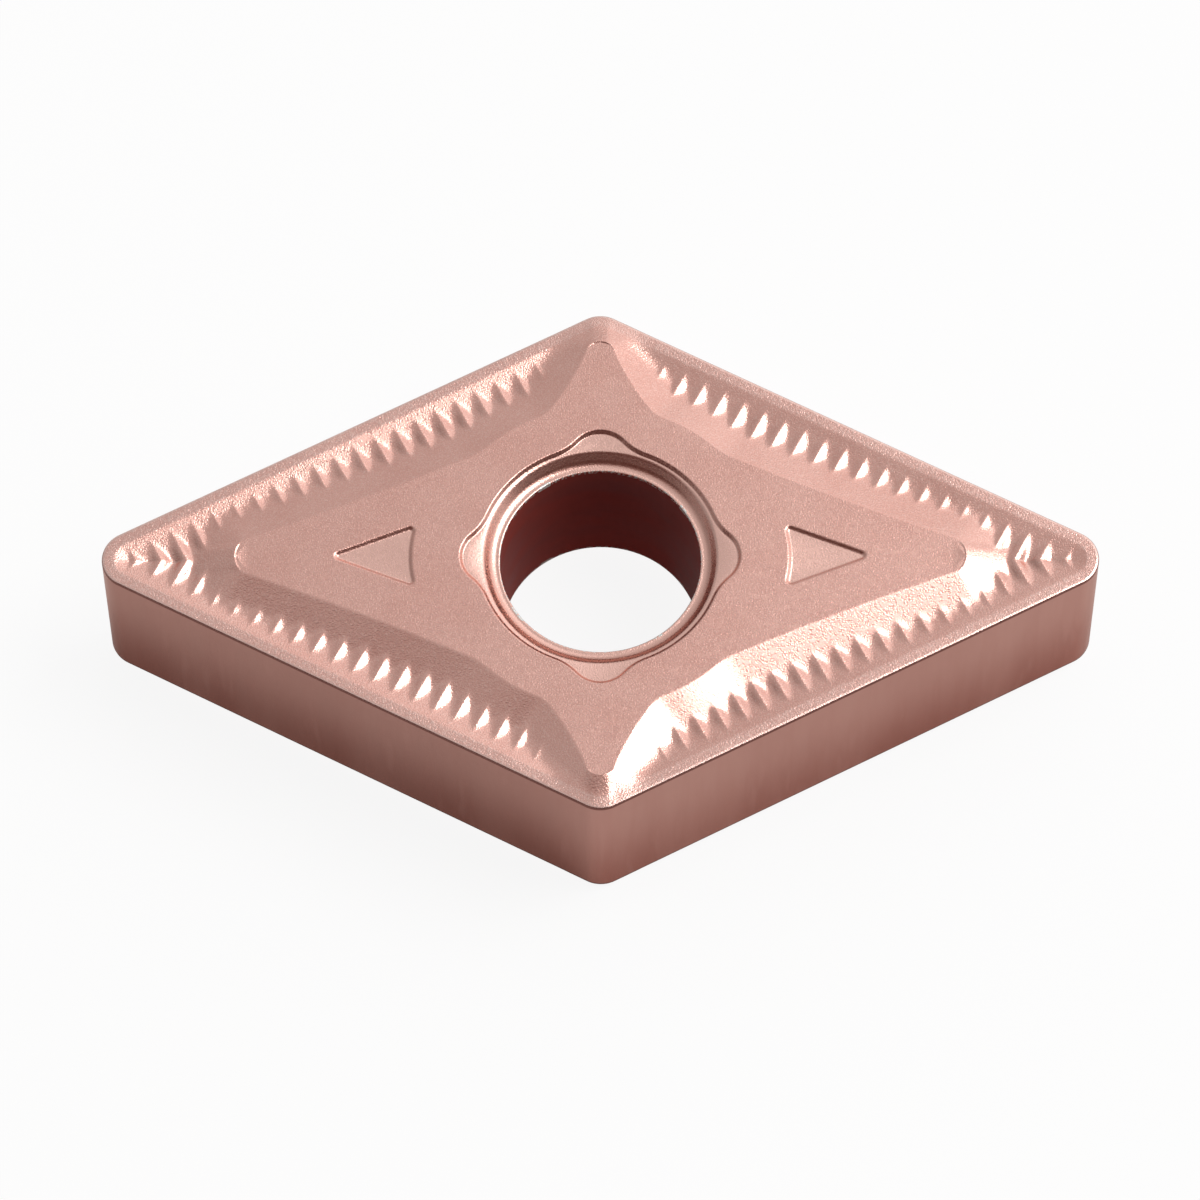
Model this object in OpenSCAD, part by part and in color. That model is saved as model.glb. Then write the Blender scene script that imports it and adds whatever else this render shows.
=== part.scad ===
// Rhombic double-sided cutting insert, one solid, with a plain round hole through it.
// Millimetres. Z is the hole's axis and points up, z = 0 is the lower seat face.
// X runs through the two sharp corners and Y through the two blunt ones.

/* [Outline] */
// circle that touches all four sides
inscribed_circle = 12.7; // [12.4:0.1:13.2]
// angle between two sides at a sharp corner
corner_angle = 55; // [54:0.5:56]
// thickness from the upper cutting edge to the lower one
edge_thickness = 4.76; // [3.18:0.01:6.35]
// radius of the four rounded corners
nose_radius = 0.8; // [0.6:0.05:1.2]

/* [Hole] */
// diameter of the through hole
hole_diameter = 5.16; // [4.8:0.02:5.2]
// how far the hole's rim lies below the cutting edges
rim_depth = 0.2; // [0.16:0.01:0.24]
// radius of the hollow that runs down to the hole's rim
hollow_radius = 0.34; // [0.32:0.01:0.36]

/* [Cutting rim] */
// flat land behind the cutting edge
land_width = 0.32; // [0.24:0.02:0.4]
// slope of the rake face behind the land, in degrees
rake_angle = 13; // [11:0.5:15]

/* [Plateau] */
// how far each seat stands above its cutting edges
plateau_rise = 0.19; // [0.14:0.01:0.24]
// slope of the wall that climbs to the seat, in degrees
wall_angle = 18.5; // [17:0.5:20]
// radius of the round middle of the seat
hub_radius = 4.3; // [4.1:0.05:4.5]
// long arms: sharp corner of the sides to the middle of the arm's tip
long_arm_setback = 4.99; // [4.7:0.01:5.3]
// long arms: radius of the tip
long_arm_tip = 0.63; // [0.63:0.01:0.7]
// long arms: half width beside the tip's middle
long_arm_half_width = 0.585; // [0.54:0.005:0.585]
// long arms: how far each side leans from the arm's axis, in degrees
long_arm_lean = 20.2; // [19.5:0.1:21]
// long arms: radius of the gently hollow sides
long_arm_side_radius = 80; // [60:1:120]
// short arms: blunt corner of the sides to the middle of the arm's tip
short_arm_setback = 1.43; // [1.35:0.01:1.5]
// short arms: radius of the tip
short_arm_tip = 0.46; // [0.46:0.01:0.5]
// short arms: half width beside the tip's middle
short_arm_half_width = 0.42; // [0.36:0.01:0.42]
// short arms: how far each side leans from the arm's axis, in degrees
short_arm_lean = 21.7; // [20.5:0.1:23]
// short arms: radius of the hollow sides
short_arm_side_radius = 7.35; // [7:0.05:8]

/* [Ridges] */
// distance between two ridges
ridge_pitch = 0.586; // [0.54:0.002:0.64]
// sharp corner of the sides to the first ridge
ridge_start = 1.59; // [1.5:0.01:1.7]
// ridges on each side
ridge_count = 21; // [12:1:21]
// how far the crests lie below the cutting edge
crest_depth = 0.07; // [0.05:0.005:0.09]
// slope of the flanks, in degrees
flank_angle = 26; // [23:1:30]

/* [Lobed recess] */
// radius of the recess between its lobes
recess_radius = 3.14; // [3.1:0.01:3.2]
// how far each lobe reaches from the hole's axis
lobe_reach = 3.61; // [3.55:0.01:3.7]
// radius of each lobe's end
lobe_radius = 0.8; // [0.75:0.01:0.85]
// half of the angle that a lobe takes up on the recess
lobe_half_angle = 22; // [20:0.5:24]
// depth below the seat
recess_depth = 0.1; // [0.08:0.01:0.12]
// lean of the wall from upright, in degrees
recess_draft = 35; // [25:1:40]

/* [Direction marks] */
// hole's axis to the mark's point
mark_reach = 6.79; // [6.6:0.01:7]
// hole's axis to the middle of the hollow side
mark_inner = 4.88; // [4.8:0.01:5]
// half of the angle at the mark's point
mark_half_angle = 21.6; // [19:0.1:24]
// radius of the hollow side
mark_side_radius = 3; // [2.5:0.1:4]
// radius of the mark's point
mark_point_radius = 0.09; // [0.08:0.01:0.14]
// depth below the seat
mark_depth = 0.12; // [0.08:0.01:0.15]
// lean of the wall from upright, in degrees
mark_draft = 25; // [15:1:35]

/* [Hidden] */
half_angle = corner_angle / 2;
half_long = inscribed_circle / 2 / sin(half_angle);
half_short = inscribed_circle / 2 / cos(half_angle);
side_length = inscribed_circle / sin(corner_angle);
upper_edge = plateau_rise + edge_thickness;
total_height = edge_thickness + 2 * plateau_rise;
// depth to which the groove's solids are drawn, below the deepest groove
root = 0.4;
// small overlap that keeps a cutter's face off the face it cuts
over = 0.05;
// a rounded corner meets its two sides at this small angle, not as a tangent
meet_angle = 4;
nose_inset = nose_radius * cos(meet_angle);
dish_radius = (nose_inset - land_width) / cos(12);
wall_run = 1 / tan(wall_angle);
mark_run = tan(mark_draft);
recess_run = tan(recess_draft);
lobe_centre = lobe_reach - lobe_radius;
// the blend between recess and lobe touches both, so its radius follows
blend_distance = ((recess_radius - lobe_radius) ^ 2 - lobe_centre ^ 2)
    / (2 * (recess_radius - lobe_radius - lobe_centre * cos(lobe_half_angle)));
blend_radius = blend_distance - recess_radius + 0.004;
$fn = 96;

function turn(distance, angle) = [distance * cos(angle), distance * sin(angle)];

// the same thing on both sides of the plane x = 0
module both_x() {
    children();
    mirror([1, 0, 0]) children();
}

// the same thing on both sides of the plane y = 0
module both_y() {
    children();
    mirror([0, 1, 0]) children();
}

// local frame of one side: x runs along it from the sharp corner, y points inwards
module on_side() {
    translate([half_long, 0, 0]) rotate([0, 0, 180 - half_angle]) children();
}

// the wedge in front of a corner's middle, between the two lines square to its sides
module front_wedge(centre, lean, low, high) {
    reach = 4;
    translate([centre, 0, low]) linear_extrude(high - low)
        polygon([[0, 0], turn(reach, -lean), [2 * reach, 0], turn(reach, lean)]);
}

// cutter for a rounded corner that lies on the x axis
module corner_cutter(corner, half, low, high) {
    centre = corner - nose_inset / sin(half);
    difference() {
        front_wedge(centre, 90 - half, low, high);
        translate([centre, 0, low - over]) cylinder(r = nose_radius, h = high - low + 2 * over);
    }
}

// the rhombus with four rounded corners, as an upright prism
module outline(low, high) {
    difference() {
        translate([0, 0, low]) linear_extrude(high - low)
            polygon([[half_long, 0], [0, half_short], [-half_long, 0], [0, -half_short]]);
        both_x() corner_cutter(half_long, half_angle, low - over, high + over);
        both_y() rotate([0, 0, 90])
            corner_cutter(half_short, 90 - half_angle, low - over, high + over);
    }
}

// land and rake face along one side, with z = 0 at the cutting edge
module side_rim() {
    on_side() rotate([90, 0, 90]) linear_extrude(side_length)
        polygon([[-1, -root], [-1, 0], [land_width, 0],
            [land_width + root / tan(rake_angle), -root]]);
}

// land and dished rake face round a sharp corner
module nose_rim() {
    centre = half_long - nose_inset / sin(half_angle);
    dish_depth = dish_radius * tan(rake_angle);
    difference() {
        front_wedge(centre, 90 - half_angle, -root, 0);
        translate([centre, 0, -dish_depth])
            cylinder(r1 = 0, r2 = 2 * dish_radius, h = 2 * dish_depth);
    }
}

// blank of one arm pair, along x, with its two rounded tips
module arm_blank(centre, tip, lean, block) {
    height = plateau_rise + root;
    spread = height * wall_run;
    long = centre + tip + spread + 0.1;
    difference() {
        translate([-long, -block, -root]) cube([2 * long, 2 * block, height]);
        both_x() difference() {
            front_wedge(centre, 90 - lean, -root - over, plateau_rise + over);
            translate([centre, 0, -root - 2 * over])
                cylinder(r1 = tip + spread + 2 * over * wall_run,
                    r2 = tip - 2 * over * wall_run, h = height + 4 * over);
        }
    }
}

// the two hollow sides of an arm pair that lie on its +y side
module arm_sides(centre, half_width, lean, side_radius) {
    height = plateau_rise + root;
    middle = [centre, 0] + turn(side_radius + half_width, 90 - lean);
    both_x() translate([middle[0], middle[1], -root - over])
        cylinder(r1 = side_radius - (height + over) * wall_run,
            r2 = side_radius + over * wall_run, h = height + 2 * over, $fn = 240);
}

// one arm pair of the seat, along x
module arms(centre, tip, half_width, lean, side_radius, block) {
    difference() {
        difference() {
            arm_blank(centre, tip, lean, block);
            arm_sides(centre, half_width, lean, side_radius);
        }
        mirror([0, 1, 0]) arm_sides(centre, half_width, lean, side_radius);
    }
}

// the raised seat: a round middle with two long and two short arms
module plateau() {
    height = plateau_rise + root;
    translate([0, 0, -root])
        cylinder(r1 = hub_radius + height * wall_run, r2 = hub_radius, h = height);
    arms(half_long - long_arm_setback, long_arm_tip, long_arm_half_width,
        long_arm_lean, long_arm_side_radius, inscribed_circle / 2);
    rotate([0, 0, 90]) arms(half_short - short_arm_setback, short_arm_tip,
        short_arm_half_width, short_arm_lean, short_arm_side_radius, hub_radius * 0.75);
}

// comb of ridges square to one side, cut off at the line through the corners
module side_ridges() {
    half = ridge_pitch / 2;
    trough = -crest_depth - half * tan(flank_angle);
    first = ridge_start - half;
    last = ridge_start + (ridge_count - 0.5) * ridge_pitch;
    crests = [for (k = [0 : 2 * ridge_count])
        [first + k * half, k % 2 == 1 ? -crest_depth : trough]];
    intersection() {
        on_side() translate([0, 2.2, 0]) rotate([90, 0, 0])
            linear_extrude(2.1 - land_width)
                polygon(concat([[first, -root]], crests, [[last, -root]]));
        translate([0, 0, -2 * root]) cube([half_long, half_short, 3 * root]);
    }
}

// everything above the groove's root on one face, with z = 0 at the cutting edge
module face() {
    both_x() both_y() side_rim();
    both_x() nose_rim();
    both_y() translate([-0.6, half_short - 1.1, -root]) cube([1.2, 2, root]);
    both_x() both_y() side_ridges();
    plateau();
}

// lobed recess with leaning walls, with z = 0 at the seat
module lobed_recess() {
    top = over;
    low = -recess_depth;
    tall = top - low;
    translate([0, 0, low]) cylinder(r1 = recess_radius - recess_depth * recess_run,
        r2 = recess_radius + top * recess_run, h = tall);
    for (angle = [0 : 90 : 270]) rotate([0, 0, angle]) {
        translate([lobe_centre, 0, low]) cylinder(r1 = lobe_radius - recess_depth * recess_run,
            r2 = lobe_radius + top * recess_run, h = tall);
        difference() {
            translate([0, 0, low]) linear_extrude(tall)
                polygon([[0, 0], turn(blend_distance, -lobe_half_angle),
                    [lobe_centre, 0], turn(blend_distance, lobe_half_angle)]);
            both_y() rotate([0, 0, lobe_half_angle]) translate([blend_distance, 0, low - over])
                cylinder(r1 = blend_radius + (recess_depth + over) * recess_run,
                    r2 = blend_radius - 2 * over * recess_run, h = tall + 2 * over);
        }
    }
}

// hollow that runs from the recess down to the hole's rim, with z = 0 at the seat
module rim_hollow() {
    depth = plateau_rise + rim_depth;
    middle = hole_diameter / 2 + 0.08;
    rotate_extrude() translate([middle, hollow_radius - depth]) circle(r = hollow_radius);
    translate([0, 0, 0.003 - depth]) cylinder(r = middle, h = depth + over);
}

// triangular direction mark on the +x side, with z = 0 at the seat
module direction_mark() {
    tall = mark_depth + over;
    apex = mark_reach + mark_point_radius / sin(mark_half_angle) - mark_point_radius;
    point_centre = apex - mark_point_radius / sin(mark_half_angle);
    point_depth = mark_point_radius * 1.02 / mark_run;
    side_centre = mark_inner - mark_side_radius;
    difference() {
        translate([mark_inner - 0.5, -2, -mark_depth]) cube([3, 4, tall]);
        both_y() translate([apex, 0, 0]) rotate([0, 0, 180 - mark_half_angle])
            rotate([90, 0, 90]) translate([0, 0, -2]) linear_extrude(8)
                polygon([[-4, -mark_depth - over], [(mark_depth + over) * mark_run, -mark_depth - over],
                    [-2 * over * mark_run, 2 * over], [-4, 2 * over]]);
        translate([side_centre, 0, -mark_depth - over])
            cylinder(r1 = mark_side_radius + (mark_depth + over) * mark_run,
                r2 = mark_side_radius - 2 * over * mark_run, h = tall + 2 * over);
        difference() {
            front_wedge(point_centre, 90 - mark_half_angle, -mark_depth - over, 2 * over);
            translate([point_centre, 0, -point_depth])
                cylinder(r1 = 0, r2 = 2 * mark_point_radius * 1.02, h = 2 * point_depth);
        }
    }
}

// everything that is sunk into one seat
module sunk_details() {
    lobed_recess();
    rim_hollow();
    both_x() direction_mark();
}

// the whole insert
module insert() {
    color([0.76, 0.56, 0.50]) difference() {
        intersection() {
            outline(0, total_height);
            union() {
                translate([-half_long, -half_short, plateau_rise + root])
                    cube([2 * half_long, 2 * half_short, edge_thickness - 2 * root]);
                translate([0, 0, upper_edge]) face();
                translate([0, 0, plateau_rise]) mirror([0, 0, 1]) face();
            }
        }
        translate([0, 0, -over]) cylinder(d = hole_diameter, h = total_height + 2 * over);
        translate([0, 0, total_height]) sunk_details();
        mirror([0, 0, 1]) sunk_details();
    }
}

insert();
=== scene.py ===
# %% [markdown]
# # A coated carbide cutting insert
# The object is a small rhombic plate of cemented carbide, pressed and sintered in one piece and
# then coated. It clamps into a tool holder and cuts metal with its sharp corners, two on each face.
# This lesson dresses the exact solid. It keeps the outline and every large form, and adds what a
# press tool, a brush and a coating chamber leave behind: honed edges, soft curves at the feet of
# the walls, grain and small chips.

# %% Load the fixed frame
import math

import bmesh
import bpy
from mathutils import Matrix, Vector


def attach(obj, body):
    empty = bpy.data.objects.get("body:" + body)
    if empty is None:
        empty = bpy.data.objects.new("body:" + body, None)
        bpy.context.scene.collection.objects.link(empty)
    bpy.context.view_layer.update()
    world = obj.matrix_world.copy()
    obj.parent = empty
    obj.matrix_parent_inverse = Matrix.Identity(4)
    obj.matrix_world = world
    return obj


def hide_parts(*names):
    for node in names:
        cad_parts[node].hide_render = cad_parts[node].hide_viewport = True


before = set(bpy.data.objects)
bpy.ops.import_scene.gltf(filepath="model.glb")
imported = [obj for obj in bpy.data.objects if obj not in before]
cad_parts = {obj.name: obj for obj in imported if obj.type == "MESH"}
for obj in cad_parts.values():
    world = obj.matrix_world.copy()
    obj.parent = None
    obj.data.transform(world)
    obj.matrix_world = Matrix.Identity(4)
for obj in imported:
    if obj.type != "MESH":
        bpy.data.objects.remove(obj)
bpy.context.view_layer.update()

# %% [markdown]
# ## Sizes
# The four sides touch a circle of 12.7 mm, which is how such inserts are measured and sold. The
# lesson's surface has to lie on the solid, so its main sizes are the solid's, in millimetres. Only
# a few depths, and the land at the blunt corners, were fitted to the photo again. No height differs
# by as much as 0.07 mm. Z is the axis of the hole, X runs through the two sharp corners and Y
# through the two blunt ones.

# %% Sizes of the insert
inscribed_circle = 12.7
corner_angle = math.radians(55)
edge_thickness = 4.76
nose_radius = 0.8
hole_radius = 2.58
seat_rise = 0.19

half_angle = corner_angle / 2
half_long = inscribed_circle / 2 / math.sin(half_angle)
half_short = inscribed_circle / 2 / math.cos(half_angle)
side_length = inscribed_circle / math.sin(corner_angle)
middle_height = edge_thickness / 2 + seat_rise
along = Vector((-math.cos(half_angle), math.sin(half_angle)))
inward = Vector((-math.sin(half_angle), -math.cos(half_angle)))
sharp_corner = Vector((half_long, 0.0))
sharp_nose = Vector((half_long - nose_radius / math.sin(half_angle), 0.0))
blunt_nose = Vector((0.0, half_short - nose_radius / math.cos(half_angle)))
print("half diagonals:", round(half_long, 3), round(half_short, 3), "side", round(side_length, 3))

# %% [markdown]
# ## How two faces meet
# One quarter of one face holds every shape once: the flat land behind the edge, the rake face that
# slopes down from it, the wall that climbs to the raised seat, and the ridges that stand across the
# groove. Each can be one short formula for a height. Where two meet, a press tool leaves a soft
# curve and not a crease, so the formulas are joined by a maximum or minimum with a small curve.

# %% Smooth joins of two heights
def soft_max(a, b, width):
    """The larger of two heights, rounded where they differ by less than the width."""
    near = max(width - abs(a - b), 0.0) / width
    return max(a, b) + near * near * width / 4


def soft_min(a, b, width):
    """The smaller of two heights, rounded in the same way."""
    return -soft_max(-a, -b, width)


def soft_step(place):
    """Rises from 0 at 0 to 1 at 1, level at both ends: the section of a pressed wall."""
    place = min(max(place, 0.0), 1.0)
    return place * place * (3 - 2 * place)


print("soft maximum of two equal heights:", soft_max(0.0, 0.0, 0.1), "over them")

# %% [markdown]
# ## Plan shape of the raised seat
# The seat is what the clamp and the holder's floor touch. Seen from above it is a star: a round hub
# with four arms, each with a round tip and two hollow sides. It could be drawn as a curve, but a
# rule that says how far a point lies outside it does more: it gives the outline, the slope of the
# wall round it, and the soft corner where an arm leaves the hub.

# %% Distance outside the seat
def arm_reach(point, centre, tip, half_width, lean, side_radius, block):
    """How far a point lies outside one arm of the seat, for an arm along x."""
    middle = centre + (side_radius + half_width) * Vector((math.sin(lean), math.cos(lean)))
    reach = max(side_radius - (point - middle).length, point.y - block)
    offset = point - centre
    if offset.x > 0 and abs(math.atan2(offset.y, offset.x)) < math.pi / 2 - lean:
        reach = max(reach, offset.length - tip)
    return reach


hub_radius = 4.3
hub_softness = 0.12
long_arm = {"centre": Vector((half_long - 4.99, 0.0)), "tip": 0.63, "half_width": 0.585,
            "lean": math.radians(20.2), "side_radius": 80.0, "block": inscribed_circle / 2}
short_arm = {"centre": Vector((half_short - 1.43, 0.0)), "tip": 0.46, "half_width": 0.42,
             "lean": math.radians(21.7), "side_radius": 7.35, "block": hub_radius * 0.75}


def seat_reach(point):
    """How far a point of the quarter lies outside the seat's outline."""
    long_reach = arm_reach(point, **long_arm)
    short_reach = arm_reach(Vector((point.y, point.x)), **short_arm)
    arms = soft_min(long_reach, short_reach, hub_softness)
    return soft_min(arms, point.length - hub_radius, hub_softness)


edge_middle = sharp_corner + along * side_length / 2
print("the edge's middle lies outside the seat by", round(seat_reach(edge_middle), 3), "mm")

# %% [markdown]
# ## Where a point lies along an edge
# All of the cutting rim is laid out from the edge: the land is so wide, the rake face starts so far
# in, the ridges repeat at one pitch. A mesh tool could inset the outline, but insets cross each
# other at a narrow corner. So every point gets two numbers, its place along the edge from the sharp
# corner and its distance from the edge. Round a corner the distance is measured from the corner's
# middle, so that the land keeps its width there.

# %% Distance from the cutting edge, and place along it
def along_edge(point):
    """Place along the straight edge, and distance from it."""
    offset = point - sharp_corner
    return offset.dot(along), offset.dot(inward)


def edge_distance(point):
    """Distance from the outline to a point inside it, round the corners too."""
    u, d = along_edge(point)
    if u < nose_radius / math.tan(half_angle):
        return nose_radius - (point - sharp_nose).length
    if u > side_length - nose_radius * math.tan(half_angle):
        return nose_radius - (point - blunt_nose).length
    return d


print("from the hole's axis to the edge:", round(edge_distance(Vector((0.0, 0.0))), 3), "mm")

# %% [markdown]
# ## The ridges
# The ridges stand across the groove, so that the hot chip rides on a few crests and not on the
# whole face. Each is a low roof: a crest that is highest in the middle of the groove, and two
# flanks that get steeper towards their feet. They could be 21 wedges joined to the face. As a
# height rule they die out in the rake face and in the wall by themselves, in the same pointed
# shape as the real ones.

# %% Height of the nearest ridge
ridge_pitch = 0.586
ridge_start = 1.59
ridge_count = 21
crest_depth = 0.053
crest_arch = 0.09
crest_middle = 1.05
crest_width = 0.008
flank_slope = 0.28
flank_curve = 9.0


def ridge_height(u, d):
    """Height of the nearest ridge: sharp along its crest, and steeper towards its feet."""
    k = min(max(round((u - ridge_start) / ridge_pitch), 0), ridge_count - 1)
    aside = u - ridge_start - k * ridge_pitch
    across = math.sqrt(aside * aside + crest_width ** 2) - crest_width
    crest = -crest_depth - crest_arch * (d - crest_middle) ** 2
    return crest - flank_slope * across - flank_curve * across ** 3


ridge_foot = ridge_height(ridge_start + ridge_pitch / 2, crest_middle)
print("crest at", ridge_height(ridge_start, crest_middle), "foot at", round(ridge_foot, 3))

# %% [markdown]
# ## The lip at each arm's tip
# Each arm of the seat ends in a low lip, three hundredths of a millimetre high, that catches the
# light as a bright line. A separate small ridge would need a seam. Raised out of the seat's own
# wall it stays one surface with it.

# %% Height of the lip
lip_rise = 0.028
lip_width = 0.02
long_lip = {"start": 8.5, "half_width": 0.44, "fade": 0.24}
short_lip = {"start": 5.6, "half_width": 0.4, "fade": 0.22}


def at_tip(forward, aside, start, half_width, fade):
    """1 at the tip of one arm, and fading out to both sides of it."""
    return soft_step((half_width - aside) / fade) if forward > start else 0.0


def lip_height(point):
    """Height of the small lip that closes each arm of the seat at its tip."""
    at_long_tip = at_tip(point.x, point.y, **long_lip)
    at_short_tip = at_tip(point.y, point.x, **short_lip)
    return lip_rise * max(at_long_tip, at_short_tip)


print("lip on the long arm's tip:", lip_height(long_arm["centre"]), "mm")

# %% [markdown]
# ## The whole rim
# The land is flat and the rake face falls from it at 13 degrees. The wall climbs at 18.5 degrees to
# the seat. The hone is the quarter round that a brush leaves on the edge. Near a blunt corner the
# land gets wider and the rake face flatter, because the arm's tip leaves no room for a groove.
# Separate surfaces would have to be trimmed against each other. As heights they are joined by two
# minimums and two maximums.

# %% Height of the rim at any point
hone_radius = 0.05
land_width = 0.32
rake_slope = math.tan(math.radians(13))
wall_slope = math.tan(math.radians(18.5))
blunt_start = 13.6
blunt_run = 1.1
blunt_land = 0.16
blunt_rake = 0.6
crease = 0.012
valley_softness = 0.105
ridge_softness = 0.045
ridges_from = 0.4


def rim_height(point, reach):
    """Height over the cutting edge's plane, from the land to the seat."""
    u, d = along_edge(point)
    lip = lip_height(point)
    d_edge = edge_distance(point)
    to_blunt = soft_step((u - blunt_start) / blunt_run)
    land = land_width + blunt_land * to_blunt
    slope = rake_slope * (1 - (1 - blunt_rake) * to_blunt)
    rake = soft_min(0.0, -slope * (d_edge - land), crease)
    if d_edge < hone_radius:
        drop = 1 - max(d_edge, 0.0) / hone_radius
        rake -= hone_radius * (1 - math.sqrt(max(1 - drop * drop, 0.0)))
    wall = seat_rise + lip - wall_slope * reach
    groove = soft_max(rake, wall, valley_softness)
    if d_edge > ridges_from:
        groove = soft_max(groove, ridge_height(u, d), ridge_softness)
    top = seat_rise + lip * min(max(1 + reach / lip_width, 0.0), 1.0)
    return soft_min(top, groove, crease) if reach > -lip_width else seat_rise


groove_place = sharp_corner + along * (ridge_start + 15.5 * ridge_pitch) + inward * 1.2
print("height between two ridges:", round(rim_height(groove_place, seat_reach(groove_place)), 3))

# %% [markdown]
# ## A sheet of quads laid on the rim
# A modeller lets the mesh's lines follow the object's own lines. Here the columns run square to the
# edge, so that every ridge has a column on its crest, and the rows follow the edge on one side and
# the seat's outline on the other. The sheet is one `create_grid`, and each of its vertices is then
# moved to its place. Round each corner the columns turn about the corner's middle as spokes.

# %% Helper: a grid whose vertices are moved to their places
def lay_grid(bm, columns, rows, place):
    """Adds a grid to the mesh and moves each vertex to place(column, row)."""
    made = bmesh.ops.create_grid(bm, x_segments=columns - 1, y_segments=rows - 1, size=1)["verts"]
    for vertex in made:
        i = round((vertex.co.x + 1) / 2 * (columns - 1))
        j = round((vertex.co.y + 1) / 2 * (rows - 1))
        vertex.co = place(i, j)
    return made


trial = bmesh.new()
print("a trial grid:", len(lay_grid(trial, 3, 2, lambda i, j: (i, j, 0))), "vertices")
trial.free()

# %% [markdown]
# ## Columns of the rim
# Each column starts at a foot on the edge and runs inwards. Evenly spread columns would miss the
# sharp crests unless there were very many. So ten go to each ridge: one on its crest, four down
# each flank and one in the valley. Where an arm's tip begins, the columns stand closer, because the
# seat's outline turns sharply there.

# %% Columns of the rim: a foot on the edge, and a direction inwards
seat_overlap = 0.035
ridge_offsets = (-0.293, -0.22, -0.15, -0.08, -0.03, 0.0, 0.03, 0.08, 0.15, 0.22)
beyond_spacing = 0.09
closest = 0.008
clear_of_corner = 0.01
first_place = nose_radius / math.tan(half_angle)
last_place = side_length - nose_radius * math.tan(half_angle)
places = [first_place]
for k in range(ridge_count):
    for offset in ridge_offsets:
        place = ridge_start + k * ridge_pitch + offset
        if place > first_place + clear_of_corner:
            places.append(place)
last_ridge = ridge_start + (ridge_count - 0.5) * ridge_pitch
places += [last_ridge + beyond_spacing * step for step in range(11)]
long_gap = half_long - long_arm["centre"].x - long_arm["tip"] + seat_overlap
short_gap = half_short - short_arm["centre"].x - short_arm["tip"] + seat_overlap
long_tip = long_gap * math.cos(half_angle)
short_tip = side_length - short_gap * math.sin(half_angle)
places += [long_tip + step for step in (0, 0.014, 0.032, 0.055, 0.083, 0.15)]
places += [short_tip - step for step in (0.42, 0.34, 0.27, 0.2, 0.14, 0.09, 0.045, 0.015, 0)]
places += [(short_tip + last_place) / 2, last_place]
places = sorted(places)
places = [a for a, b in zip(places, places[1:] + [math.inf])
          if b - a > closest or a in (long_tip, short_tip)]
print("columns on the straight edge:", len(places))

# %% [markdown]
# ## Spokes round the corners
# The pressed corners are round, and the columns there are the spokes of that round. They all end in
# its middle, so the grid closes to a point, and the equal points are merged later. The quarter has
# half of the sharp corner and half of the blunt one, each with its own share of the turn.

# %% All columns of the quarter, from the sharp corner to the blunt one
sharp_steps, blunt_steps = 14, 6
corner_turn = math.pi / 2 - half_angle


def spoke_column(middle, angle):
    """One column of a round corner, as its foot, direction and length."""
    spoke = Vector((math.cos(angle), math.sin(angle)))
    return middle + spoke * nose_radius, -spoke, nose_radius


rim_columns = [spoke_column(sharp_nose, corner_turn * step / sharp_steps)
               for step in range(sharp_steps)]
rim_columns += [(sharp_corner + along * place, inward, None) for place in places]
rim_columns += [spoke_column(blunt_nose, corner_turn + half_angle * step / blunt_steps)
                for step in range(1, blunt_steps + 1)]
print("columns:", len(rim_columns))

# %% [markdown]
# ## Where a column meets the seat
# The seat's wall ends in a crisp corner, and a line of the mesh has to lie on it, or it looks
# frayed. Where that is on a column has no simple formula. But the distance from the seat only
# shrinks on the way in, so halving the stretch again and again finds the place.

# %% Find the place on a column
halvings = 40


def distance_at(foot, direction, limit, reach):
    """How far in from the edge a column comes to a given distance from the seat."""
    if seat_reach(foot + direction * limit) > reach:
        return limit
    low, high = 0.0, limit
    for _ in range(halvings):
        half = (low + high) / 2
        if seat_reach(foot + direction * half) > reach:
            low = half
        else:
            high = half
    return high


to_seat = distance_at(edge_middle, inward, inscribed_circle / 2, 0.0)
print("from the edge's middle to the seat:", round(to_seat, 3), "mm")

# %% [markdown]
# ## Rows of the rim
# The edge and the groove are seen closest, the wall less. Rows could be spread evenly, but then the
# hone would have none. So the first rows keep a fixed distance from the edge, close together round
# the hone and at both ends of the land. The next ones share out what is left up to the seat, and
# the last ones follow the seat's outline.

# %% Rows of the rim
side_rows = [-0.14, -hone_radius]
edge_rows = [0.004, 0.016, 0.033, hone_radius, 0.08, 0.28, 0.31, 0.335, 0.38, 0.46, 0.54]
groove_start = 0.6
groove_rows = 18
seat_rows = [0.1, 0.045, 0.02, 0.006, -0.004, -0.021, -seat_overlap]
row_count = len(side_rows) + len(edge_rows) + groove_rows + len(seat_rows)


def column_distances(foot, direction, length):
    """The distances from the edge at which one column has its vertices."""
    if length is None:
        length = min(foot.y / -direction.y, foot.x / -direction.x)
    ends = [distance_at(foot, direction, length, reach) for reach in seat_rows]
    middle = [groove_start + (ends[0] - groove_start) * j / groove_rows for j in range(groove_rows)]
    return [0.0] * len(side_rows) + edge_rows + middle + ends


column_table = [column_distances(*column) for column in rim_columns]
print("rows:", row_count, "widest rim", round(max(c[-1] for c in column_table), 3), "mm")


def place_on_rim(i, j):
    """Place of one vertex of the rim."""
    foot, direction, _ = rim_columns[i]
    point = foot + direction * column_table[i][j]
    if j < len(side_rows):
        return Vector((point.x, point.y, side_rows[j]))
    return Vector((point.x, point.y, rim_height(point, seat_reach(point))))


# %% [markdown]
# ## The lobed recess round the hole
# Inside the seat a shallow recess with four lobes surrounds the hole's mouth, where a screw's or a
# lever's head goes in. Its outline is a circle with a smaller circle standing out of it at each
# lobe, and a hollow curve that touches both. It could be drawn as a curve with handles, but the
# spokes from the hole's axis meet these arcs at a distance that geometry gives exactly.

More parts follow.
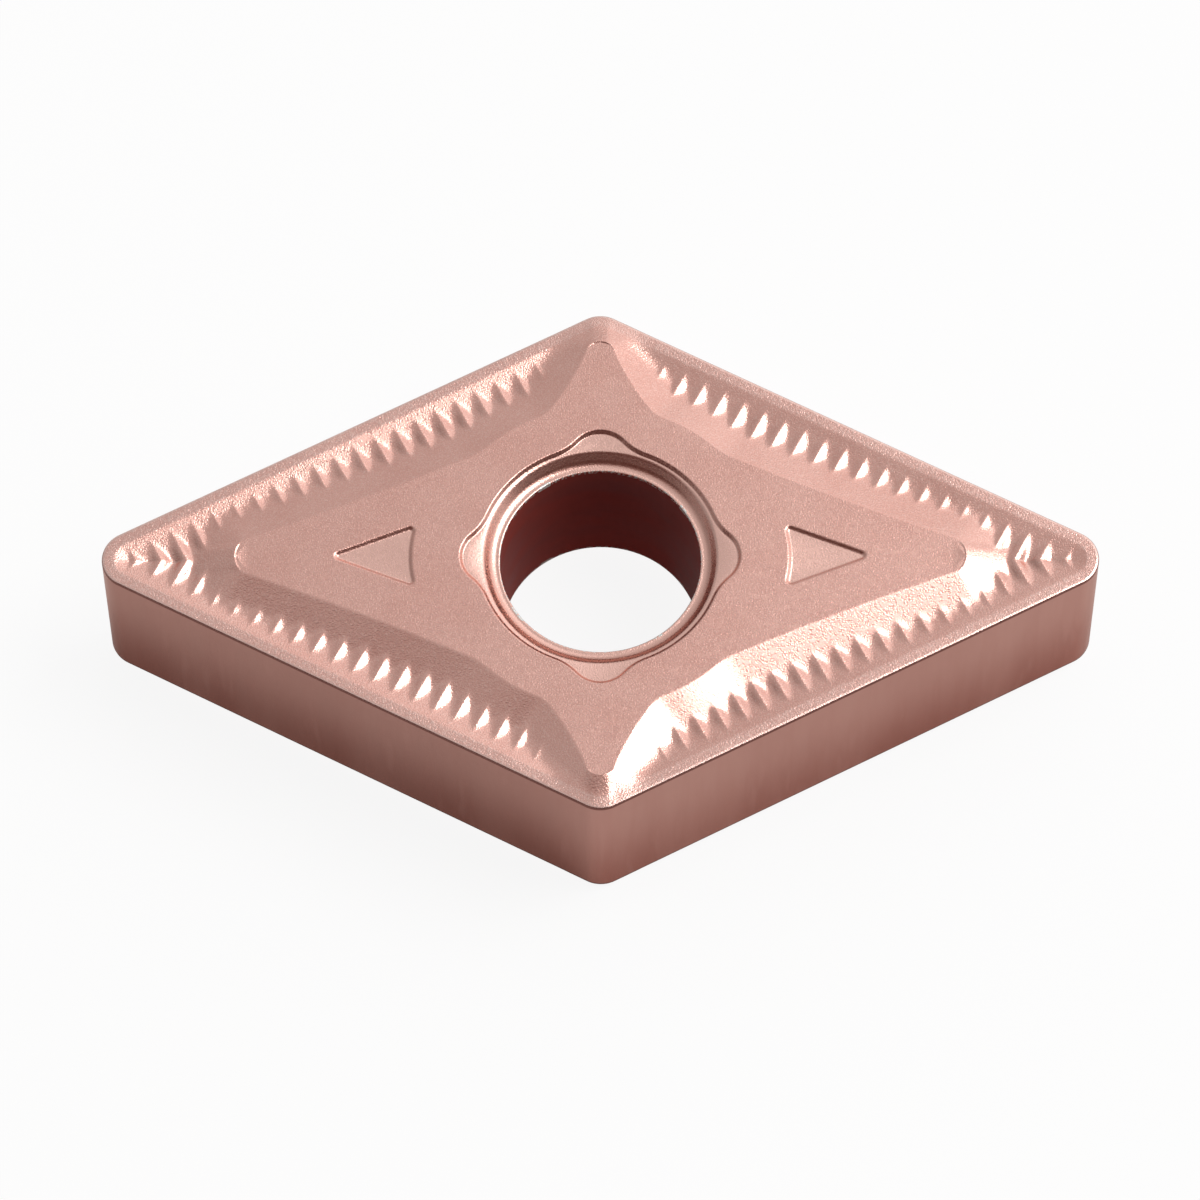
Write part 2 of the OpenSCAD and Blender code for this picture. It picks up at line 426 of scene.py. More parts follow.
# %% Outline of the recess at a given offset
recess_radius = 3.14
lobe_radius = 0.8
lobe_centre = 3.61 - lobe_radius
lobe_half_angle = math.radians(22)
recess_depth = 0.085
blend_distance = ((recess_radius - lobe_radius) ** 2 - lobe_centre ** 2) / (
    2 * (recess_radius - lobe_radius - lobe_centre * math.cos(lobe_half_angle)))
blend_radius = blend_distance - recess_radius


def recess_outline(angle, offset):
    """Distance from the hole's axis to the outline, moved outwards by the offset."""
    turned = abs((angle + math.pi / 4) % (math.pi / 2) - math.pi / 4)
    if turned >= lobe_half_angle:
        return recess_radius + offset
    lobe = lobe_radius + offset
    aside = lobe_centre * math.sin(turned)
    far = lobe_centre * math.cos(turned) + math.sqrt(max(lobe * lobe - aside * aside, 0.0))
    blend = blend_radius - offset
    slant = lobe_half_angle - turned
    aside = blend_distance * math.sin(slant)
    inside = blend * blend - aside * aside
    touch = math.atan2(blend_distance * math.sin(lobe_half_angle),
                       blend_distance * math.cos(lobe_half_angle) - lobe_centre)
    touch_point = Vector((lobe_centre + lobe * math.cos(touch), lobe * math.sin(touch)))
    if turned < math.atan2(touch_point.y, touch_point.x) or inside <= 0:
        return far
    return blend_distance * math.cos(slant) - math.sqrt(inside)


print("lobe's tip at", round(recess_outline(0.0, 0.0), 3), "blend of", round(blend_radius, 3))

# %% [markdown]
# ## From the recess down into the hole
# The rings of the recess and the hollow are one more grid. The outer rows follow the lobed outline
# down a wall with a soft top and foot, and the inner rows are true circles: a shoulder, the flank
# of the hollow, its round bottom, and the low raised rim of the hole. The walls are softer and a
# little shallower than the solid's plain ones, because that is how they catch the light.

# %% Rows of the recess, from the seat down to the hole's wall
wall_steps = [-0.1, 0.0, 0.08, 0.17, 0.26, 0.35, 0.44, 0.53, 0.62, 0.71, 0.8, 0.9, 0.96, 1.0]
hollow_rows = [(3.056, -0.0858), (3.032, -0.095), (3.015, -0.105), (2.997, -0.1165),
               (2.982, -0.1285), (2.968, -0.1445), (2.95, -0.1635), (2.932, -0.183),
               (2.914, -0.2025), (2.895, -0.2225)]
hollow_radius = 0.29
hollow_middle = hole_radius + 0.08
hollow_depth = 0.34
for radius in (2.875, 2.858, 2.84, 2.818, 2.795, 2.77, 2.745, 2.72, 2.69):
    turn = math.asin((radius - hollow_middle) / hollow_radius)
    hollow_rows.append((radius, hollow_radius * (1 - math.cos(turn)) - hollow_depth))
hollow_rows += [(2.668, -0.339), (2.648, -0.337), (2.63, -0.336), (2.615, -0.3365),
                (2.601, -0.339), (2.591, -0.345), (2.584, -0.355), (hole_radius, -0.372),
                (hole_radius, -0.48)]
recess_columns = 57
wall_top, wall_foot, lobe_shift = 0.05, -0.07, 0.02


def place_in_recess(i, j):
    """Place of one vertex of the rings round the hole."""
    angle = math.pi / 2 * i / (recess_columns - 1)
    if j < len(wall_steps):
        lobe = recess_outline(angle, 0.0) - recess_radius
        lobe /= lobe_centre + lobe_radius - recess_radius
        top = wall_top - lobe_shift * lobe
        foot = wall_foot - lobe_shift * lobe
        radius = recess_outline(angle, top + (foot - top) * wall_steps[j])
        height = -recess_depth * soft_step(wall_steps[j])
    else:
        radius, height = hollow_rows[j - len(wall_steps)]
    return Vector((radius * math.cos(angle), radius * math.sin(angle), seat_rise + height))


print("rings:", len(wall_steps) + len(hollow_rows), "bottom of the hollow:", -hollow_depth)

# %% [markdown]
# ## The direction marks
# A sunk triangle on each side of the hole points to the sharp corner beyond it. Its outline has two
# straight sides, one hollow side and three rounded corners. A boolean cut would leave ragged faces
# round it. Moved inwards or outwards, such an outline keeps its corners' middles and only their
# radii change, so the rows of the mark are the same outline at growing offsets. Its floor is filled
# later.

# %% Half outline of a mark
mark_point_radius = 0.09
mark_corner_radius = 0.1
mark_half_angle = math.radians(21.6)
mark_depth = 0.06
mark_side_radius = 3.0
mark_side_centre = 4.88 - mark_side_radius
mark_point = Vector((6.79 - mark_point_radius, 0.0))
mark_apex = mark_point.x + mark_point_radius / math.sin(mark_half_angle)
side_normal = Vector((math.sin(mark_half_angle), math.cos(mark_half_angle)))
side_distance = mark_apex * side_normal.x - mark_corner_radius
side_turn = math.atan2(side_normal.y, side_normal.x)
ring = mark_side_radius + mark_corner_radius
shift = side_distance - mark_side_centre * side_normal.x
swing = side_turn - math.acos(shift / ring)
mark_corner = Vector((mark_side_centre + ring * math.cos(swing), ring * math.sin(swing)))
print("mark's corner:", [round(c, 3) for c in mark_corner])

# %% [markdown]
# ## Rows of a mark
# Half of the outline is three arcs: the point, the corner and the hollow side. The straight side is
# what joins the first two. A press leaves the mark's wall soft at its top and its foot, so the rows
# go down it by the same soft step as in the recess.

# %% Outlines of a mark, from its rim down to its floor
point_steps, corner_steps, back_steps = 6, 8, 8
mark_top, mark_run = 0.07, 0.135


def arc(middle, radius, start, end, steps):
    """Points on an arc, one more than its steps."""
    turns = [start + (end - start) * step / steps for step in range(steps + 1)]
    return [middle + radius * Vector((math.cos(turn), math.sin(turn))) for turn in turns]


def mark_outline(offset):
    """Points of the upper half of the outline, from the mark's point to its hollow side."""
    back = math.atan2(mark_corner.y, mark_corner.x - mark_side_centre)
    side_middle = Vector((mark_side_centre, 0.0))
    hollow_side = arc(side_middle, mark_side_radius - offset, back, 0.0, back_steps)
    return (arc(mark_point, mark_point_radius + offset, 0.0, side_turn, point_steps)
            + arc(mark_corner, mark_corner_radius + offset, side_turn, back + math.pi, corner_steps)
            + hollow_side[1:])


mark_rows = [mark_outline(mark_top - mark_run * step) for step in wall_steps]
print("points on a row:", len(mark_rows[0]), "rows:", len(mark_rows))


def place_in_mark(i, j):
    """Place of one vertex of a mark's wall."""
    point = mark_rows[j][i]
    return Vector((point.x, point.y, seat_rise - mark_depth * soft_step(wall_steps[j])))


# %% [markdown]
# ## From a quarter to one face
# The insert is its own mirror image across both diagonals, so the three grids of one quarter are
# all that has to be laid. A mirror modifier would do it too, but the next steps need the whole
# face, so it is mirrored at once, and equal points are merged.

# %% Build one face
merge_distance = 1e-5
body = bmesh.new()
lay_grid(body, len(rim_columns), row_count, place_on_rim)
lay_grid(body, recess_columns, len(wall_steps) + len(hollow_rows), place_in_recess)
lay_grid(body, len(mark_rows[0]), len(wall_steps), place_in_mark)
bmesh.ops.remove_doubles(body, verts=body.verts[:], dist=merge_distance)
bmesh.ops.dissolve_degenerate(body, dist=1e-6, edges=body.edges[:])
print("one quarter:", len(body.faces), "faces")

for axis in ("X", "Y"):
    everything = body.verts[:] + body.edges[:] + body.faces[:]
    bmesh.ops.mirror(body, geom=everything, axis=axis, merge_dist=1e-4)
bmesh.ops.remove_doubles(body, verts=body.verts[:], dist=merge_distance)

# %% [markdown]
# ## The flat parts
# What is still open is flat: the seat between the rim, the recess and the marks, and the floors of
# the two marks. A grid over them would need thousands of quads that show nothing. `triangle_fill`
# closes such a face between any number of loops in one step.

# %% Close the seat and the floors of the marks
marks_from = 4


def open_edges_at(height, tolerance, nearest=0.0):
    """The open edges at one height, all of them further from the axis than the nearest."""
    return [e for e in body.edges if e.is_boundary
            and all(abs(v.co.z - height) < tolerance and v.co.xy.length > nearest for v in e.verts)]


seat_edges = open_edges_at(seat_rise, 1e-3)
floor_edges = open_edges_at(seat_rise - mark_depth, 2e-2, marks_from)
for edges, height in ((seat_edges, seat_rise), (floor_edges, seat_rise - mark_depth)):
    for vertex in {v for e in edges for v in e.verts}:
        vertex.co.z = height
    bmesh.ops.triangle_fill(body, edges=edges, use_beauty=True, normal=(0, 0, 1))
still_open = [e for e in body.edges if e.is_boundary]
print("face:", len(body.faces), "faces,", len(still_open), "open edges")

# %% [markdown]
# ## The other face, the sides and the hole
# The insert can be turned over and used again, so its lower face is the same. A copy turned over
# about X is that face. The sides and the hole's wall are plain, so they need no grid of their own:
# the outer loops are bridged for the four sides, and the inner loops for the wall of the hole.

# %% Turn a copy over and bridge the two faces
bmesh.ops.translate(body, verts=body.verts[:], vec=(0, 0, edge_thickness / 2))
copy = bmesh.ops.duplicate(body, geom=body.verts[:] + body.edges[:] + body.faces[:])["geom"]
bmesh.ops.rotate(body, verts=[g for g in copy if isinstance(g, bmesh.types.BMVert)],
                 cent=(0, 0, 0), matrix=Matrix.Rotation(math.pi, 3, "X"))
loops = [e for e in body.edges if e.is_boundary]
outer = [e for e in loops if e.verts[0].co.xy.length > hub_radius]
inner = [e for e in loops if e.verts[0].co.xy.length < hub_radius]
side_faces = bmesh.ops.bridge_loops(body, edges=outer)["faces"]
bore_faces = bmesh.ops.bridge_loops(body, edges=inner)["faces"]
bmesh.ops.recalc_face_normals(body, faces=body.faces[:])
still_open = [e for e in body.edges if e.is_boundary]
print("sides:", len(side_faces), "bore:", len(bore_faces), "open edges:", len(still_open))

# %% [markdown]
# ## Three finishes
# The pressed faces, the sides and the wall of the hole look different, so each gets a material of
# its own. They could be chosen by hand in edit mode. The slope of a face and its distance from the
# axis tell them apart just as well.

# %% Tell the three finishes apart
upright_below = 0.35
for face in body.faces:
    upright = abs(face.normal.z) < upright_below
    radius = face.calc_center_median().xy.length
    on_side, in_hole = radius > hub_radius, radius < hole_radius + 0.02
    face.material_index = 1 if upright and on_side else 2 if upright and in_hole else 0
print("finishes:", [sum(f.material_index == n for f in body.faces) for n in range(3)])

# %% [markdown]
# ## Notes for the materials
# Within one finish the look changes with the place: the honed edge is polished, the land is grainy,
# and the floors and walls of what is pressed in are smoother. Painting that by hand would take an
# image. Instead each vertex carries three numbers, its distance from the edge, how much it lies on
# a sunk floor, and how much on a steep wall, and the materials read them as attributes. The last
# one places painted shade on the steep walls.

# %% Note three numbers on each vertex
flank_top, flank_end, flank_blur = 0.11, 0.35, 0.05
mark_wall_share = 0.45
sunk_from, well_inside = 0.75, 0.2
from_edge = body.verts.layers.float.new("from_edge")
sunk = body.verts.layers.float.new("sunk")
# The steep-wall number says where painted shade goes on the walls of the recess, the hollow and the
# marks.
painted_wall_shade = body.verts.layers.float.new("painted_wall_shade")
for vertex in body.verts:
    quarter_point = Vector((abs(vertex.co.x), abs(vertex.co.y)))
    under_edge_plane = max(edge_thickness / 2 - abs(vertex.co.z), 0.0)
    inside = edge_distance(quarter_point)
    on_rim = inside < hone_radius + 0.01
    vertex[from_edge] = inside - under_edge_plane if on_rim else inside

    below = middle_height - abs(vertex.co.z)
    in_seat = seat_reach(quarter_point) < -well_inside
    in_mark = vertex.co.xy.length > marks_from
    depth = mark_depth if in_mark else recess_depth
    on_floor = soft_step((below / depth - sunk_from) / (1 - sunk_from))
    vertex[sunk] = on_floor if in_seat else 0.0
    if below < depth:
        on_wall = max(4 * below * (depth - below) / depth ** 2, 0.0)
    else:
        on_wall = soft_step((below - flank_top) / flank_blur)
    on_wall *= soft_step((flank_end - below) / flank_blur) * (mark_wall_share if in_mark else 1.0)
    vertex[painted_wall_shade] = on_wall if in_seat else 0.0
print("sunk vertices:", sum(vertex[sunk] > 0.5 for vertex in body.verts))

# %% [markdown]
# ## The finished object
# The mesh was made in millimetres round the insert's middle, where the mirrors are simple. It moves
# up so that the lower seat lies on the ground, shrinks to metres, and takes the place of the solid
# in the frame. All of it is one mesh with three materials, as the real insert is one piece.

# %% Put it in its place and make the object
bmesh.ops.translate(body, verts=body.verts[:], vec=(0, 0, middle_height))
bmesh.ops.scale(body, verts=body.verts[:], vec=(0.001, 0.001, 0.001))
mesh = bpy.data.meshes.new("insert_surface")
for face in body.faces:
    face.smooth = True
body.to_mesh(mesh)
body.free()
mesh.calc_loop_triangles()
insert = bpy.data.objects.new("insert_surface", mesh)
bpy.context.scene.collection.objects.link(insert)
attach(insert, "root")
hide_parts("insert")
print("insert:", len(mesh.loop_triangles), "triangles")

# %% [markdown]
# ## Finish of the coating
# All of the insert carries one copper-coloured hard coating, a few thousandths of a millimetre
# thick. It copies what lies under it. The pressed faces show the grain of the sintered powder, the
# sides are smoother and darker, and the wall of the hole is painted a dark red brown as shade.
# Images could carry such patterns, but they would be blurred close up. Noise at true scale, in
# metres, stays
# sharp: a scale of 20000 gives spots of a twentieth of a millimetre.

# %% Helpers: a node, a noise, a range and a sum
def add(tree, kind, inputs=(), **settings):
    """Adds a node; inputs maps a socket to a value or to another node's output."""
    node = tree.nodes.new("ShaderNode" + kind)
    for name, value in settings.items():
        setattr(node, name, value)
    for key, value in dict(inputs).items():
        if isinstance(value, bpy.types.NodeSocket):
            tree.links.new(value, node.inputs[key])
        else:
            node.inputs[key].default_value = value
    return node


def noise_at(tree, scale, detail, stretch=(1, 1, 1), turn=(0, 0, 0)):
    """Noise on the object's own coordinates; scale in spots per metre."""
    place = add(tree, "TexCoord").outputs["Object"]
    if stretch != (1, 1, 1):
        mapping = add(tree, "Mapping", {"Vector": place, "Rotation": turn, "Scale": stretch})
        place = mapping.outputs["Vector"]
    return add(tree, "TexNoise", {"Vector": place, "Scale": scale, "Detail": detail}).outputs["Fac"]


def ramp(tree, value, low, high, to_low=0.0, to_high=1.0):
    """Maps a range of a value to another range, and holds its ends."""
    limits = {"From Min": low, "From Max": high, "To Min": to_low, "To Max": to_high}
    node = add(tree, "MapRange", {"Value": value, **limits}, interpolation_type="SMOOTHSTEP")
    return node.outputs["Result"]


def calc(tree, operation, a, b=0.0):
    """Arithmetic on two values."""
    return add(tree, "Math", {0: a, 1: b}, operation=operation).outputs[0]


print("helpers: add, noise_at, ramp, calc")

# %% [markdown]
# ## Flaked coating
# The coating is hard and thin, and it flakes first where two faces meet at a corner. The rim of the
# hole shows bright specks all round, and in four places, a quarter turn apart, a longer chip down
# to the grey carbide. They are far too thin to model, so they are a mask. Both materials that meet
# there use this one mask, so the chips run across.

# %% Where the coat has flaked off the rim of the hole
chips = ((35, 3.5), (124, 5.0), (215, 6.5), (305, 3.0))
speck_radius, chip_radius = 0.002608, 0.00264
speck_height, chip_height = 0.00214, 0.0021
speck_threshold, chip_threshold = 0.54, 0.4


def rim_chips(tree):
    """1 in the specks and in four longer chips where the hole's wall meets the pressed face."""
    place = add(tree, "TexCoord").outputs["Object"]
    flat = add(tree, "Mapping", {"Vector": place, "Scale": (1, 1, 0)}).outputs["Vector"]
    radius = add(tree, "VectorMath", {0: flat}, operation="LENGTH").outputs["Value"]
    height = add(tree, "SeparateXYZ", {0: place}).outputs["Z"]
    from_middle = calc(tree, "ABSOLUTE", calc(tree, "SUBTRACT", height, middle_height / 1000))
    way_out = add(tree, "VectorMath", {0: flat}, operation="NORMALIZE").outputs["Vector"]
    specks = noise_at(tree, 16000, 1.0)
    near = 0.0
    for degrees, half_width in chips:
        angle = math.radians(degrees)
        facing = add(tree, "VectorMath", {0: way_out, 1: (math.cos(angle), math.sin(angle), 0)},
                     operation="DOT_PRODUCT").outputs["Value"]
        outer, inner = math.cos(math.radians(half_width)), math.cos(math.radians(half_width * 0.6))
        near = calc(tree, "MAXIMUM", ramp(tree, facing, outer, inner), near)
    reach = ramp(tree, near, 0.0, 1.0, speck_radius, chip_radius)
    lowest = ramp(tree, near, 0.0, 1.0, speck_height, chip_height)
    ring = calc(tree, "MULTIPLY", calc(tree, "LESS_THAN", radius, reach),
                calc(tree, "GREATER_THAN", from_middle, lowest))
    threshold = ramp(tree, near, 0.0, 1.0, speck_threshold, chip_threshold)
    return calc(tree, "MULTIPLY", ring, calc(tree, "GREATER_THAN", specks, threshold))


print("longer chips at", [degrees for degrees, _ in chips], "degrees")

# %% [markdown]
# ## Colour and relief
# A coated face is one tone that changes a little from place to place, over a relief too fine to
# model. Layers of colour could be baked to an image. Mixed in nodes, each layer can be read and
# changed by itself. The relief is a bump, and its depth is given in metres like everything else.

# %% Helpers: a mix of two colours, a bump and a material
def blend(tree, factor, a, b):
    """Mixes two colours."""
    node = add(tree, "Mix", data_type="RGBA")
    for socket, value in ((node.inputs[0], factor), (node.inputs[6], a), (node.inputs[7], b)):
        if isinstance(value, bpy.types.NodeSocket):
            tree.links.new(value, socket)
        else:
            socket.default_value = (*value, 1)
    return node.outputs[2]


def bump(tree, heights, distance):
    """Bump from a height; distance is its full depth in metres."""
    relief = add(tree, "Bump", {"Height": heights, "Distance": distance, "Strength": 1.0})
    return relief.outputs["Normal"]


def new_material(name, base, metallic, roughness):
    """A material with a plain shader; returns it with its nodes and its shader."""
    material = bpy.data.materials.new(name)
    material.use_nodes = True
    tree = material.node_tree
    shader = tree.nodes["Principled BSDF"]
    shader.inputs["Base Color"].default_value = (*base, 1)
    shader.inputs["Metallic"].default_value = metallic
    shader.inputs["Roughness"].default_value = roughness
    return material, tree, shader


print("helpers: blend, bump, new_material")

# %% [markdown]
# ## Colour of the pressed faces
# The pressed faces are satin. The metal gives the tinted highlight, and a coat over it adds a paler
# sheen. One flat colour would look like paint, so noises and the three numbers change it. The honed
# edge is painted lighter as a highlight. The floors of what is pressed in are paler, their steep
# walls carry painted shade in a deep red, and a painted shade lies as a dark line under the edge.

# %% Colour of the pressed faces
coat_deep, coat_pale = (0.84, 0.458, 0.385), (0.88, 0.498, 0.422)
grain_pit, grain_peak, land_tone = (0.52, 0.24, 0.19), (0.95, 0.72, 0.64), (0.93, 0.7, 0.64)
# The steep-wall tone is painted shade: the deep red of walls that face the dark front.
sunk_tone, wall_shade_tone = (0.99, 0.61, 0.52), (0.72, 0.37, 0.3)
# The hone tone is a painted highlight that lightens the honed edge.
hone_highlight_tone, edge_shade_line, flaked_face = (0.98, 0.8, 0.74), (0.16, 0.045, 0.033), (0.85, 0.86, 0.82)
pressed, tree, shader = new_material("pressed_face", (0.84, 0.475, 0.40), 1.0, 0.28)
shader.inputs["Specular Tint"].default_value = (0.95, 0.76, 0.7, 1)
shader.inputs["Coat Weight"].default_value = 0.6
shader.inputs["Coat Roughness"].default_value = 0.28
from_edge_value = add(tree, "Attribute", attribute_name="from_edge").outputs["Fac"]
fine = noise_at(tree, 29000, 0.0)
patches = noise_at(tree, 700, 3.0)
on_land = ramp(tree, from_edge_value, 0.36, 0.3)
on_hone = ramp(tree, from_edge_value, 0.075, 0.055)
# Painted shade: a dark line along the lower curve of the hone, under the edge.
under_edge = ramp(tree, from_edge_value, 0.012, -0.008)
in_sunk = add(tree, "Attribute", attribute_name="sunk").outputs["Fac"]
on_painted_wall_shade = add(tree, "Attribute", attribute_name="painted_wall_shade").outputs["Fac"]
land_grain = calc(tree, "MULTIPLY", on_land, ramp(tree, fine, 0.35, 0.65, 0.12, 0.3))
colour = blend(tree, ramp(tree, patches, 0.35, 0.65), coat_deep, coat_pale)
for factor, tone in ((calc(tree, "MULTIPLY", ramp(tree, fine, 0.62, 0.4), 0.16), grain_pit),
                     (calc(tree, "MULTIPLY", ramp(tree, fine, 0.5, 0.75), 0.3), grain_peak),
                     (land_grain, land_tone),
                     (calc(tree, "MULTIPLY", in_sunk, 0.8), sunk_tone),
                     (calc(tree, "MULTIPLY", on_painted_wall_shade, 0.65), wall_shade_tone),
                     (calc(tree, "MULTIPLY", on_hone, 0.3), hone_highlight_tone),
                     (calc(tree, "MULTIPLY", under_edge, 0.9), edge_shade_line),
                     (rim_chips(tree), flaked_face)):
    colour = blend(tree, factor, colour, tone)
tree.links.new(colour, shader.inputs["Base Color"])
print("layers of colour on", pressed.name, "done, nodes:", len(tree.nodes))

# %% [markdown]
# ## Grain of the pressed faces
# Sintered powder leaves a grain that sparkles in the light. Roughness alone would look like
# plastic, and modelled grains would take millions of faces. So a bump carries two noises: a fine
# one as wide as the powder's lumps, and a coarser one that makes them uneven. The brushed edge is
# smoothest, and the seat a little smoother than the rim.

# %% Grain of the pressed faces
grain_depth = 6.2e-6
coarse = noise_at(tree, 9000, 2.0)
tree.links.new(ramp(tree, coarse, 0.3, 0.7, 0.25, 0.29), shader.inputs["Roughness"])
grain = calc(tree, "ADD", fine, calc(tree, "MULTIPLY", coarse, 0.2))
smooth_places = calc(tree, "MAXIMUM", on_hone, calc(tree, "MULTIPLY", in_sunk, 0.5))
grain = calc(tree, "MULTIPLY", grain, ramp(tree, smooth_places, 0.0, 1.0, 1.0, 0.35))
grain = calc(tree, "MULTIPLY", grain, ramp(tree, from_edge_value, 0.7, 1.0, 1.0, 0.85))
tree.links.new(bump(tree, grain, grain_depth), shader.inputs["Normal"])
mesh.materials.append(pressed)
print(pressed.name, "nodes:", len(tree.nodes))

# %% [markdown]
# ## The sides
# The sides are smoother than the faces. Their colour is painted darker towards the lower face, as
# shade, and broad soft bands run down them. There are faint slanting streaks too, such as a brush
# leaves. An image wrapped round the sides would show its seam. Height and stretched noise are
# enough for all three. A dark line just under the edge is painted shade as well.

# %% Finish of the sides
side_low_shade, side_high, side_edge_shade = (0.31, 0.105, 0.08), (0.48, 0.245, 0.205), (0.14, 0.042, 0.032)
band_tone, streak_tone = (0.56, 0.31, 0.26), (0.58, 0.33, 0.28)
sides, tree, shader = new_material("side_face", (0.4, 0.17, 0.135), 1.0, 0.34)
shader.inputs["Specular Tint"].default_value = (0.9, 0.8, 0.75, 1)
from_edge_value = add(tree, "Attribute", attribute_name="from_edge").outputs["Fac"]
height = add(tree, "SeparateXYZ", {0: add(tree, "TexCoord").outputs["Object"]}).outputs["Z"]
bands = noise_at(tree, 420, 2.0, stretch=(1, 1, 0.06))
streaks = noise_at(tree, 2600, 2.0, stretch=(1, 1, 0.12), turn=(0.5, 0.0, 0.35))
fine = noise_at(tree, 24000, 0.0)
# Painted shade: the sides get darker towards the lower face.
colour = blend(tree, ramp(tree, height, 0.0, 0.0042), side_low_shade, side_high)
colour = blend(tree, ramp(tree, bands, 0.35, 0.65, 0.0, 0.22), colour, band_tone)
colour = blend(tree, ramp(tree, streaks, 0.55, 0.75, 0.0, 0.18), colour, streak_tone)
# Painted shade: a dark line just under the edge.
colour = blend(tree, ramp(tree, from_edge_value, -0.105, -0.085, 0.0, 0.85), colour, side_edge_shade)
tree.links.new(colour, shader.inputs["Base Color"])
tree.links.new(ramp(tree, streaks, 0.3, 0.7, 0.3, 0.38), shader.inputs["Roughness"])
tree.links.new(bump(tree, fine, 2.0e-6), shader.inputs["Normal"])
mesh.materials.append(sides)
print(sides.name, "nodes:", len(tree.nodes))

# %% [markdown]
# ## The wall of the hole
# The wall of the hole is painted a dark red brown, the shade inside the tube, and hardly shines. It
# isn't set as metal here, because a mirror inside a tube would only show the white table through
# it.

# %% Finish of the hole's wall
# The wall colours are painted shade: the dark red brown inside the hole.
hole_shade_deep, hole_shade_pale, flaked_wall = (0.25, 0.036, 0.027), (0.31, 0.048, 0.036), (0.62, 0.65, 0.61)
bore, tree, shader = new_material("hole_wall", (0.085, 0.019, 0.015), 0.0, 0.5)
shader.inputs["Specular IOR Level"].default_value = 0.05
rings = noise_at(tree, 1500, 3.0, stretch=(0.4, 0.4, 1))
colour = blend(tree, ramp(tree, rings, 0.3, 0.7), hole_shade_deep, hole_shade_pale)
colour = blend(tree, rim_chips(tree), colour, flaked_wall)
tree.links.new(colour, shader.inputs["Base Color"])
tree.links.new(ramp(tree, rings, 0.3, 0.7, 0.45, 0.55), shader.inputs["Roughness"])
tree.links.new(bump(tree, noise_at(tree, 14000, 2.0), 2.5e-6), shader.inputs["Normal"])
mesh.materials.append(bore)
print(bore.name, "nodes:", len(tree.nodes))

# %% [markdown]
# ## The table
# The insert lies on white paper. Plain paper would need lamps so strong that the insert burns out.
# So the paper is lit like everything else, and for the camera and for reflections part of its white
# is its own. The shadow stays, but it is pale.

# %% Floor
white_for_camera, white_for_mirrors = 0.9, 0.25
floor_mesh = bpy.data.meshes.new("floor")
floor_bm = bmesh.new()
bmesh.ops.create_grid(floor_bm, x_segments=1, y_segments=1, size=0.5)
floor_bm.to_mesh(floor_mesh)
floor_bm.free()
floor = bpy.data.objects.new("floor", floor_mesh)
bpy.context.scene.collection.objects.link(floor)
paper, tree, shader = new_material("paper", (0.95, 0.95, 0.95), 0.0, 0.9)
rays = add(tree, "LightPath").outputs
mirrored = calc(tree, "MAXIMUM", rays["Is Glossy Ray"], rays["Is Transmission Ray"])
mirrored = calc(tree, "MULTIPLY", mirrored, white_for_mirrors)
seen = calc(tree, "MULTIPLY", rays["Is Camera Ray"], white_for_camera)
seen = calc(tree, "MAXIMUM", seen, mirrored)
own_white = add(tree, "Emission", {"Color": (1, 1, 1, 1), "Strength": 1.0}).outputs[0]
mixed = add(tree, "MixShader", {0: seen, 1: shader.outputs[0], 2: own_white}).outputs[0]
tree.links.new(mixed, tree.nodes["Material Output"].inputs["Surface"])
floor_mesh.materials.append(paper)
print("floor:", [round(side, 2) for side in floor.dimensions], "m")

# %% [markdown]
# ## The camera
# The camera stands 20 cm away and looks down at 64 degrees, as in a catalogue picture of a small
# part. It could be placed by eye. Here its place, its lens and its small roll were fitted to the
# photo's outline, which also shows how large the far side is against the near one. The aim is given
# in pixels of the picture, as the distance between the hole's axis and the picture's middle.

# %% Camera
elevation, azimuth, roll = math.radians(63.9), math.radians(0.313), math.radians(-0.347)
distance = 0.2024
image_width = 1200
sensor_width = 36
pixels_per_mm = 38.908
aim_right, aim_up = -0.33, -41.46
origin = Vector((0, 0, (seat_rise + edge_thickness) / 1000))
level_back = Vector((math.sin(azimuth), -math.cos(azimuth), 0))
back = level_back * math.cos(elevation) + Vector((0, 0, math.sin(elevation)))
right = Vector((math.cos(azimuth), math.sin(azimuth), 0))
up = back.cross(right)
right, up = (math.cos(roll) * right + math.sin(roll) * up,
             math.cos(roll) * up - math.sin(roll) * right)
focal = pixels_per_mm * distance * 1000
spot = origin + back * distance
aim = (-back + right * (aim_right / focal) + up * (aim_up / focal)).normalized()
view_right = (right - aim * right.dot(aim)).normalized()
view_up = view_right.cross(aim)
camera_data = bpy.data.cameras.new("camera")
camera_data.sensor_width = sensor_width
camera_data.lens = sensor_width * focal / image_width
camera_data.clip_start = 0.01
camera = bpy.data.objects.new("camera", camera_data)
turned = Matrix((view_right, view_up, -aim)).transposed()
camera.matrix_world = Matrix.Translation(spot) @ turned.to_4x4()
bpy.context.scene.collection.objects.link(camera)
bpy.context.scene.camera = camera
print("lens:", round(camera_data.lens, 1), "mm")

# %% [markdown]
# ## The studio round it
# Satin metal shows what stands round it, so the studio is part of the finish. It could be walls and
# screens, but they would show in other views. A world whose level depends on the direction does the
# same unseen. Behind and above the insert it is bright, and the seat mirrors it. In front, where
# the camera stands, it is dark and warm, so the walls that lean forwards go dark. Low down it is
# brighter again all round, for a look from the side. Four shares fine-tune the level: dimmer far to
# the left, a little brighter far behind, a step from left to right, and brightest far to the right.

